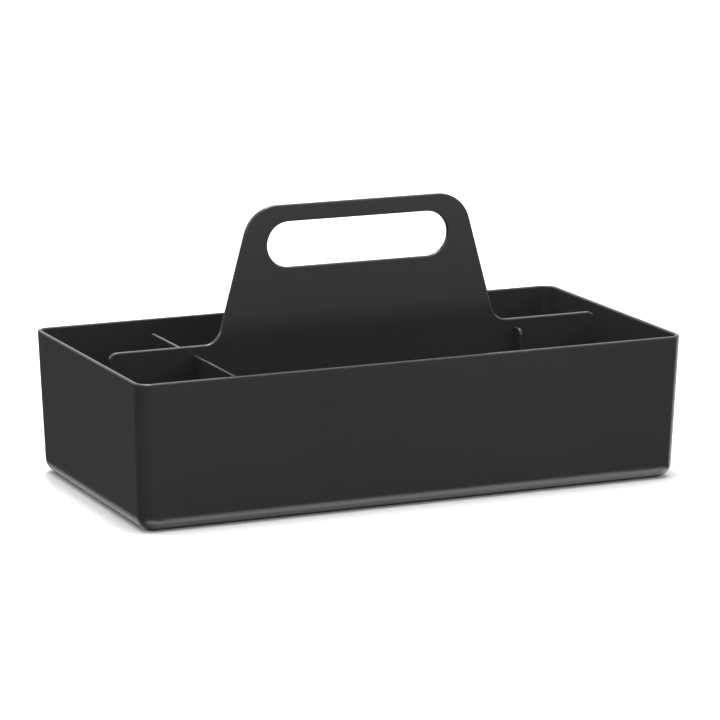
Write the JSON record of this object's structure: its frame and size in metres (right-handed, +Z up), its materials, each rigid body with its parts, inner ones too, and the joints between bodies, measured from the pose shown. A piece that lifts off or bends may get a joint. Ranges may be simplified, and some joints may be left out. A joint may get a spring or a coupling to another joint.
{
  "type": "tool storage caddy",
  "caption": "Open rectangular tray with rounded corners, an upright centre plate that rises into a carrying handle with an oblong grip slot, and cross dividers.",
  "frame": {"origin": "centre of the rest face under the tray", "axes": "+X along the tray's length and the handle, towards the short divider, +Y towards the back wall, +Z up"},
  "size_m": [0.3256, 0.167, 0.1573],
  "materials": {
    "body_plastic": "satin dark grey moulded plastic with a fine texture",
    "screw_steel": "zinc plated"
  },
  "bodies": {
    "root": {"tray": "body_plastic", "handle_plate": "body_plastic", "long_divider": "body_plastic", "short_divider": "body_plastic", "handle_screws": "screw_steel"}
  },
  "joints": []
}
